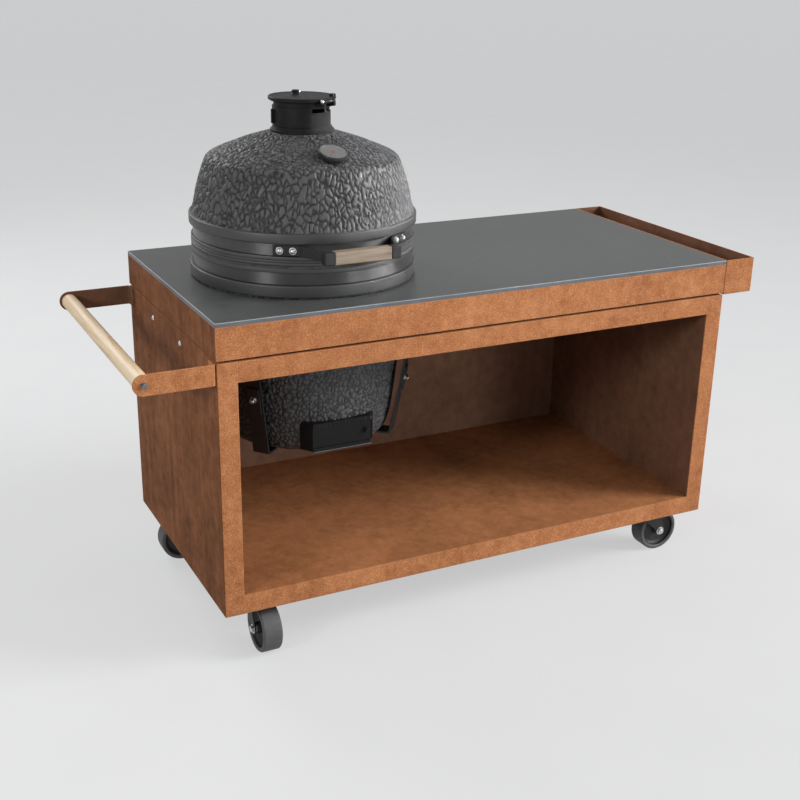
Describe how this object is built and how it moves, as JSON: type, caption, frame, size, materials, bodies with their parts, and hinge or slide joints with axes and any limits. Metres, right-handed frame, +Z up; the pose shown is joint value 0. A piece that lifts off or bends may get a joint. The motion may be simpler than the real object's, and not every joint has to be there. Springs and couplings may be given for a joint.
{
  "type": "kamado grill table",
  "caption": "Ceramic kamado grill hung in a wheeled weathered-steel cabinet with a stone worktop, an open bay, a side tray and a wooden push bar.",
  "frame": {"origin": "on the floor, under the middle of the overall length and depth", "axes": "+Z up, +X towards the side tray, -Y towards the open front"},
  "size_m": [1.724, 0.732, 1.3316],
  "materials": {
    "weathered_steel": "weathered rust patina",
    "stone": "honed",
    "black_steel": "satin black",
    "kamado_ceramic": "textured matt glaze",
    "fireclay": "bare fireclay",
    "iron": "painted cast iron",
    "stainless": "bright",
    "felt": "woven felt",
    "ash": "clear oil",
    "oiled_wood": "weathered oil",
    "grey_rubber": "matt",
    "needle_red": "satin"
  },
  "bodies": {
    "table": {"apron_front": "weathered_steel", "apron_rear": "weathered_steel", "apron_left": "weathered_steel", "apron_right": "weathered_steel", "side_tray": "weathered_steel", "side_panel_left": "weathered_steel", "side_panel_right": "weathered_steel", "side_liner_left": "weathered_steel", "side_liner_right": "weathered_steel", "floor_pan": "weathered_steel", "floor_liner": "weathered_steel", "back_panel": "weathered_steel", "top_rail_front": "weathered_steel", "push_bracket_front": "weathered_steel", "push_bracket_rear": "weathered_steel", "worktop": "stone", "deck_plate": "black_steel", "bowl_band": "black_steel", "draft_frame": "black_steel", "hinge_bowl_bracket": "black_steel", "hanger_front_right": "black_steel", "hanger_front_left": "black_steel", "hanger_rear_right": "black_steel", "hanger_rear_left": "black_steel", "caster_plate_front_left": "black_steel", "caster_plate_front_right": "black_steel", "caster_plate_rear_left": "black_steel", "caster_plate_rear_right": "black_steel", "bowl": "kamado_ceramic", "fire_box": "fireclay", "fire_ring": "fireclay", "fire_grate": "iron", "cooking_grid": "stainless", "hinge_pin": "stainless", "push_bar_bolt_front": "stainless", "push_bar_bolt_rear": "stainless", "bowl_gasket": "felt", "push_bar": "ash"},
    "lid": {"dome": "kamado_ceramic", "dome_gasket": "felt", "dome_band": "black_steel", "hinge_dome_bracket": "black_steel", "lid_arm_left": "black_steel", "lid_arm_right": "black_steel", "lid_grip": "oiled_wood", "chimney_tower": "iron", "cap_hinge_pin": "stainless", "thermometer_case": "black_steel"},
    "chimney_sleeve": {"chimney_sleeve": "iron"},
    "chimney_cap": {"chimney_cap": "iron"},
    "thermometer_needle": {"thermometer_needle": "needle_red"},
    "draft_door": {"draft_door": "black_steel"},
    "caster_fork_front_left": {"caster_fork_front_left": "black_steel"},
    "caster_wheel_front_left": {"caster_wheel_front_left": "grey_rubber"},
    "caster_fork_front_right": {"caster_fork_front_right": "black_steel"},
    "caster_wheel_front_right": {"caster_wheel_front_right": "grey_rubber"},
    "caster_fork_rear_left": {"caster_fork_rear_left": "black_steel"},
    "caster_wheel_rear_left": {"caster_wheel_rear_left": "grey_rubber"},
    "caster_fork_rear_right": {"caster_fork_rear_right": "black_steel"},
    "caster_wheel_rear_right": {"caster_wheel_rear_right": "grey_rubber"}
  },
  "joints": [
    {"name": "lid_hinge", "type": "hinge", "parent": "table", "child": "lid", "pos_m": [-0.312, 0.322, 0.96115], "axis": [-1, 0, 0], "range_deg": [0, 65]},
    {"name": "chimney_sleeve_turn", "type": "hinge", "parent": "lid", "child": "chimney_sleeve", "pos_m": [-0.312, 0, 1.2363], "axis": [0, 0, 1], "range_deg": [0, 150]},
    {"name": "chimney_cap_hinge", "type": "hinge", "parent": "lid", "child": "chimney_cap", "pos_m": [-0.27829, -0.08345, 1.3143], "axis": [0.9272, 0.3746, 0], "range_deg": [0, 100]},
    {"name": "thermometer_needle_turn", "type": "hinge", "parent": "lid", "child": "thermometer_needle", "pos_m": [-0.312, -0.18923, 1.21269], "axis": [0, 0.355, -0.9349], "range_deg": [0, 270]},
    {"name": "draft_door_slide", "type": "slide", "parent": "table", "child": "draft_door", "axis": [1, 0, 0], "range_m": [0, 0.09]},
    {"name": "caster_swivel_front_left", "type": "hinge", "parent": "table", "child": "caster_fork_front_left", "pos_m": [-0.551, -0.261, 0.134], "axis": [0, 0, 1], "continuous": true},
    {"name": "caster_spin_front_left", "type": "hinge", "parent": "caster_fork_front_left", "child": "caster_wheel_front_left", "pos_m": [-0.551, -0.303, 0.0625], "axis": [-1, 0, 0], "continuous": true},
    {"name": "caster_swivel_front_right", "type": "hinge", "parent": "table", "child": "caster_fork_front_right", "pos_m": [0.647, -0.261, 0.134], "axis": [0, 0, 1], "continuous": true},
    {"name": "caster_spin_front_right", "type": "hinge", "parent": "caster_fork_front_right", "child": "caster_wheel_front_right", "pos_m": [0.689, -0.261, 0.0625], "axis": [0, -1, 0], "continuous": true},
    {"name": "caster_swivel_rear_left", "type": "hinge", "parent": "table", "child": "caster_fork_rear_left", "pos_m": [-0.551, 0.261, 0.134], "axis": [0, 0, 1], "continuous": true},
    {"name": "caster_spin_rear_left", "type": "hinge", "parent": "caster_fork_rear_left", "child": "caster_wheel_rear_left", "pos_m": [-0.593, 0.261, 0.0625], "axis": [0, 1, 0], "continuous": true},
    {"name": "caster_swivel_rear_right", "type": "hinge", "parent": "table", "child": "caster_fork_rear_right", "pos_m": [0.647, 0.261, 0.134], "axis": [0, 0, 1], "continuous": true},
    {"name": "caster_spin_rear_right", "type": "hinge", "parent": "caster_fork_rear_right", "child": "caster_wheel_rear_right", "pos_m": [0.647, 0.303, 0.0625], "axis": [1, 0, 0], "continuous": true}
  ]
}
